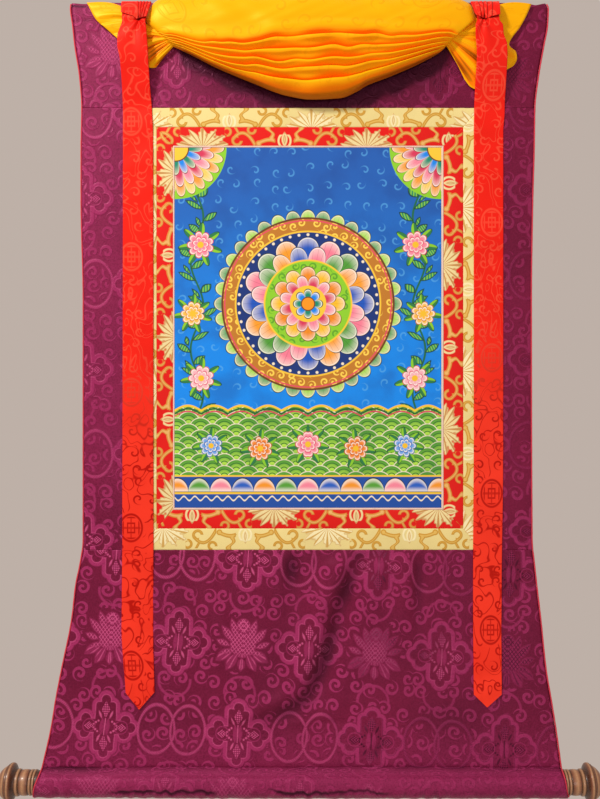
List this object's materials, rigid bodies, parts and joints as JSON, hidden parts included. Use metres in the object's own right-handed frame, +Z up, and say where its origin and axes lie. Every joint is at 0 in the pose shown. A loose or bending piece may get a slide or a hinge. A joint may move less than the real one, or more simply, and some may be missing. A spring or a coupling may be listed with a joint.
{
  "type": "thangka scroll painting with roller rod",
  "caption": "Hanging scroll painting in brocade borders on a flared damask ground, with a gathered silk cover, hanging ribbons and a roller rod with turned knobs.",
  "frame": {"origin": "middle of the top edge, in the plane of the wall", "axes": "+Z up, +X to the viewer's right, the front faces -Y and the wall is the plane Y = 0"},
  "size_m": [0.8556, 0.0518, 1.1378],
  "materials": {
    "ground_damask": "plum silk damask with a lighter woven flower and ring pattern",
    "edge_piping": "rose-red cotton piping",
    "gold_brocade": "cream brocade with gold scrolls",
    "red_brocade": "red brocade with gold scrolls and pale flowers",
    "picture_piping": "pale cream silk piping",
    "painted_canvas": "matt mineral paint on primed cotton canvas",
    "ribbon_silk": "bright red silk damask",
    "cover_silk": "thin golden yellow silk, softly glossy",
    "rod_wood": "plain softwood dowel",
    "knob_wood": "turned wood with a worn antique brown finish"
  },
  "bodies": {
    "root": {"ground_top": "ground_damask", "ground_left": "ground_damask", "ground_right": "ground_damask", "ground_bottom": "ground_damask", "edge_piping_left": "edge_piping", "edge_piping_right": "edge_piping", "gold_top": "gold_brocade", "gold_bottom": "gold_brocade", "gold_left": "gold_brocade", "gold_right": "gold_brocade", "red_top": "red_brocade", "red_bottom": "red_brocade", "red_left": "red_brocade", "red_right": "red_brocade", "picture_piping_top": "picture_piping", "picture_piping_bottom": "picture_piping", "picture_piping_left": "picture_piping", "picture_piping_right": "picture_piping", "painting": "painted_canvas", "ribbon_left": "ribbon_silk", "ribbon_right": "ribbon_silk", "cover": "cover_silk", "rod": "rod_wood", "finial_left": "knob_wood", "finial_right": "knob_wood"}
  },
  "joints": []
}
